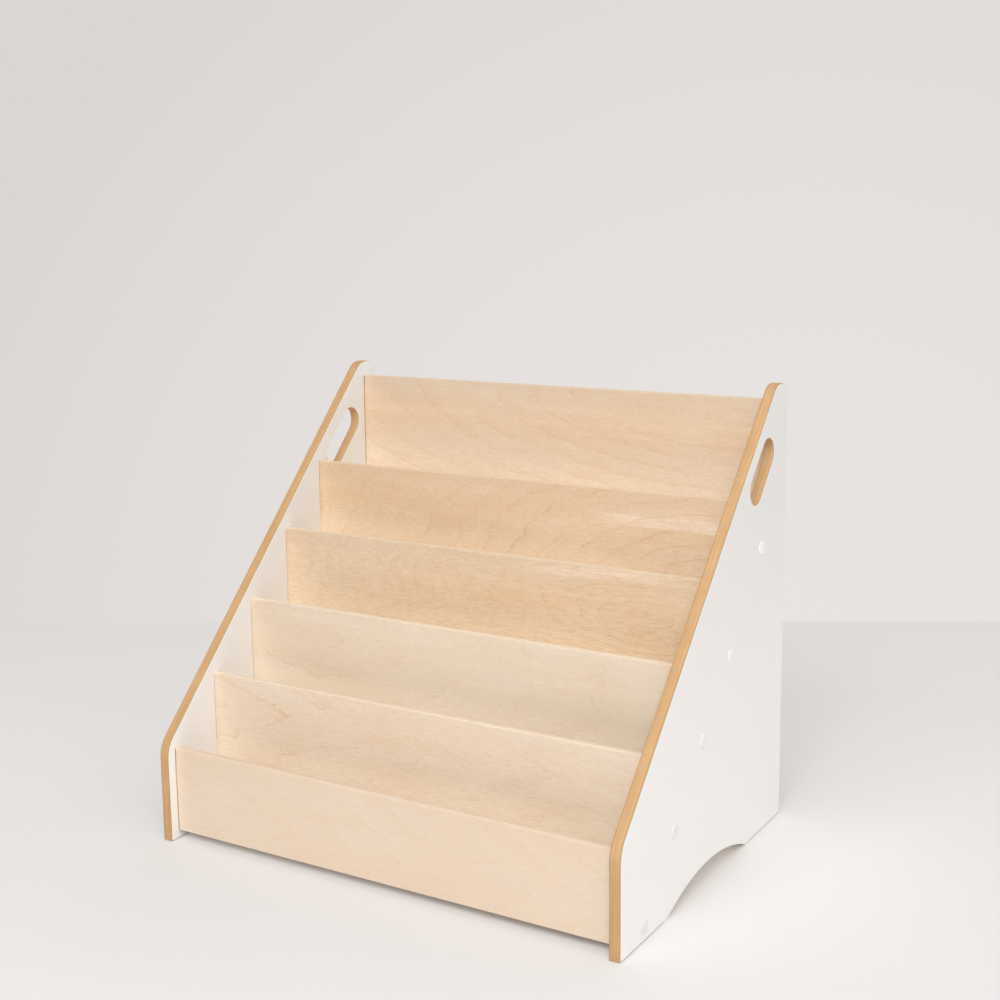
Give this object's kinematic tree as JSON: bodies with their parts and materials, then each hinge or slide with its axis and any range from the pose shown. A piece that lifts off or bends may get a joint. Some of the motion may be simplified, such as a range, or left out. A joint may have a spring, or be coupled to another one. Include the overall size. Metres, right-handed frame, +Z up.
{
  "type": "stepped book display",
  "caption": "Free-standing stepped book display: slanted side panels carry rising upright plywood boards, with pockets between them where books stand covers forward.",
  "frame": {"origin": "on the ground, midway between the side panels and midway from front to back", "axes": "+X across the display to its right as seen from the front, +Y to the back, +Z up"},
  "size_m": [0.4226, 0.302, 0.37],
  "materials": {
    "white_faced_board": "fibreboard with satin warm-white faces and bare tan edges",
    "birch_plywood": "pale birch veneer with a clear matt lacquer",
    "zinc_plated_steel": "bright zinc plate",
    "white_cap_plastic": "satin white"
  },
  "bodies": {
    "root": {"side_panel_left": "white_faced_board", "side_panel_right": "white_faced_board", "front_board": "birch_plywood", "divider_1": "birch_plywood", "divider_2": "birch_plywood", "divider_3": "birch_plywood", "divider_4": "birch_plywood", "back_board": "birch_plywood", "pocket_floor_1": "birch_plywood", "pocket_floor_2": "birch_plywood", "pocket_floor_3": "birch_plywood", "pocket_floor_4": "birch_plywood", "pocket_floor_5": "birch_plywood", "screw_left_1": "zinc_plated_steel", "screw_left_2": "zinc_plated_steel", "screw_left_3": "zinc_plated_steel", "screw_left_4": "zinc_plated_steel", "screw_left_5": "zinc_plated_steel", "screw_right_1": "zinc_plated_steel", "screw_right_2": "zinc_plated_steel", "screw_right_3": "zinc_plated_steel", "screw_right_4": "zinc_plated_steel", "screw_right_5": "zinc_plated_steel", "cap_left_1": "white_cap_plastic", "cap_left_2": "white_cap_plastic", "cap_left_3": "white_cap_plastic", "cap_left_4": "white_cap_plastic", "cap_left_5": "white_cap_plastic", "cap_right_1": "white_cap_plastic", "cap_right_2": "white_cap_plastic", "cap_right_3": "white_cap_plastic", "cap_right_4": "white_cap_plastic", "cap_right_5": "white_cap_plastic"}
  },
  "joints": []
}
